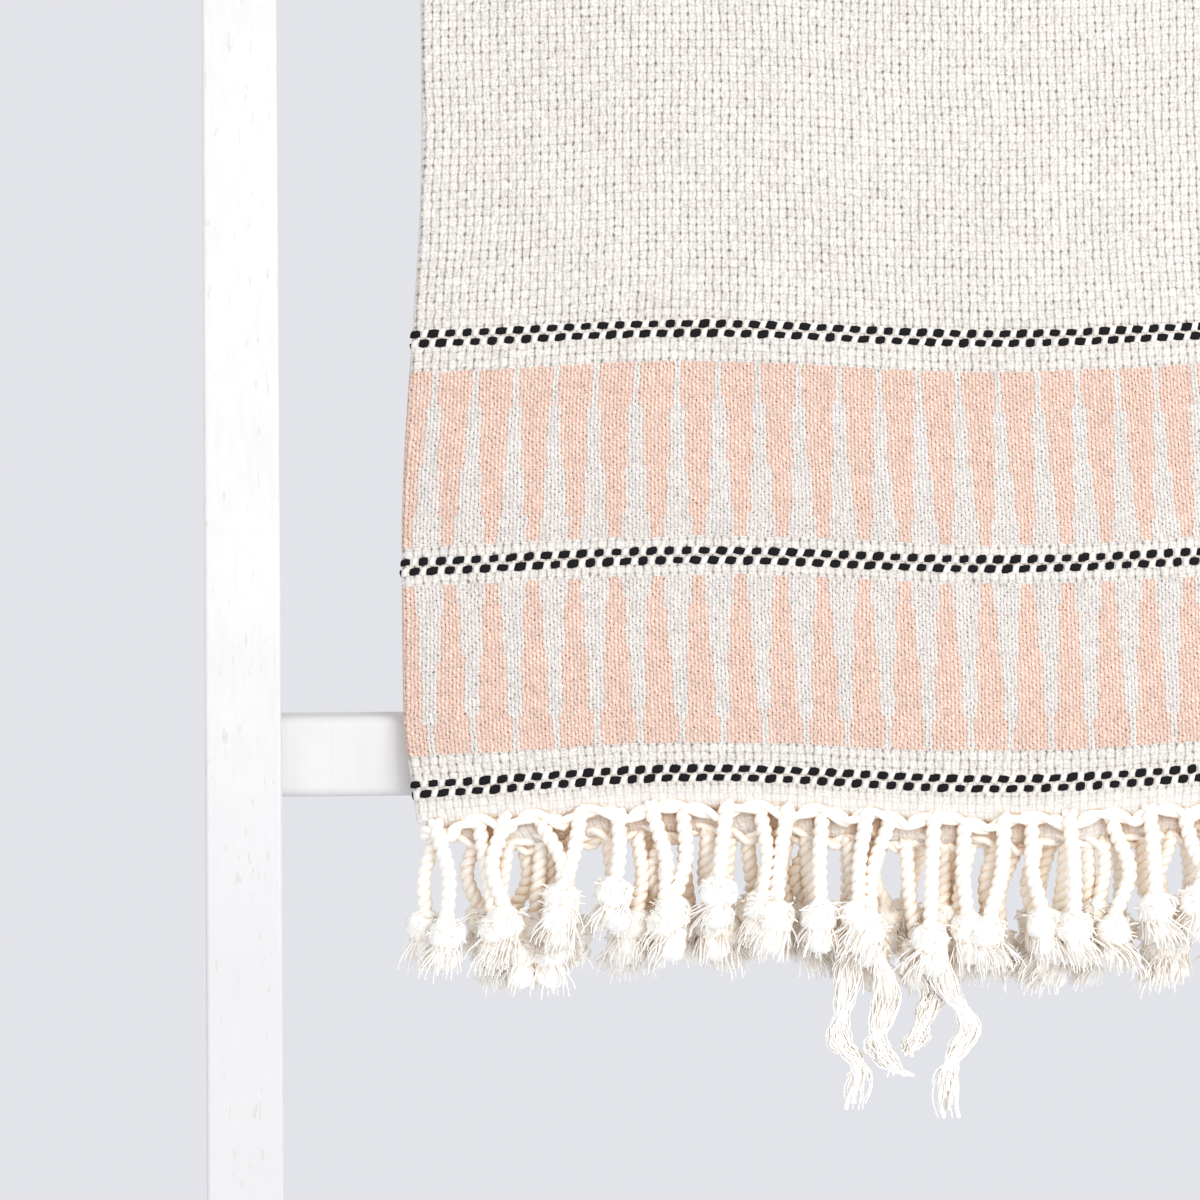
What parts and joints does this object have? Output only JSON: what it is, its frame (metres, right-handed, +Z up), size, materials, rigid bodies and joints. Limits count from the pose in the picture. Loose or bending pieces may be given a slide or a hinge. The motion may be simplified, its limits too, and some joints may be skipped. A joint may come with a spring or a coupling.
{
  "type": "leaning blanket ladder with a woven throw",
  "caption": "Slim white-painted ladder rack that leans on a wall, with a fringed woven throw folded lengthwise and draped over its top rung.",
  "frame": {"origin": "on the floor, under the middle of the whole object's box", "axes": "+X across the ladder to the right as seen by someone who faces the wall, +Y towards the wall, +Z up"},
  "size_m": [0.472, 0.2886, 1.5],
  "materials": {
    "painted_wood": "brush-painted white, satin, lightly worn at the edges",
    "zinc_steel": "bright zinc",
    "grey_rubber": "matte",
    "woven_cotton": "basket-woven natural cotton with peach columns and black dashed bands",
    "twisted_cotton": "soft twisted cotton cord"
  },
  "bodies": {
    "ladder": {"foot_pad_screws": "zinc_steel", "left_foot_pad": "grey_rubber", "left_rail": "painted_wood", "left_rung_screws": "zinc_steel", "left_screw_plugs": "painted_wood", "left_wall_pad": "grey_rubber", "right_foot_pad": "grey_rubber", "right_rail": "painted_wood", "right_rung_screws": "zinc_steel", "right_screw_plugs": "painted_wood", "right_wall_pad": "grey_rubber", "rung_1": "painted_wood", "rung_2": "painted_wood", "rung_3": "painted_wood", "rung_4": "painted_wood", "rung_5": "painted_wood"},
    "throw": {"back_fringe_left_flap": "twisted_cotton", "back_fringe_outer": "twisted_cotton", "back_fringe_right_flap": "twisted_cotton", "back_hem_cord": "twisted_cotton", "front_fringe_left_flap": "twisted_cotton", "front_fringe_outer": "twisted_cotton", "front_fringe_right_flap": "twisted_cotton", "front_hem_cord": "twisted_cotton", "throw_back_drop": "woven_cotton", "throw_front_drop": "woven_cotton", "throw_saddle": "woven_cotton"}
  },
  "joints": [
    {"name": "throw_lift", "type": "slide", "parent": "ladder", "child": "throw", "axis": [0, 0, 1], "range_m": [0, 1.1]}
  ]
}
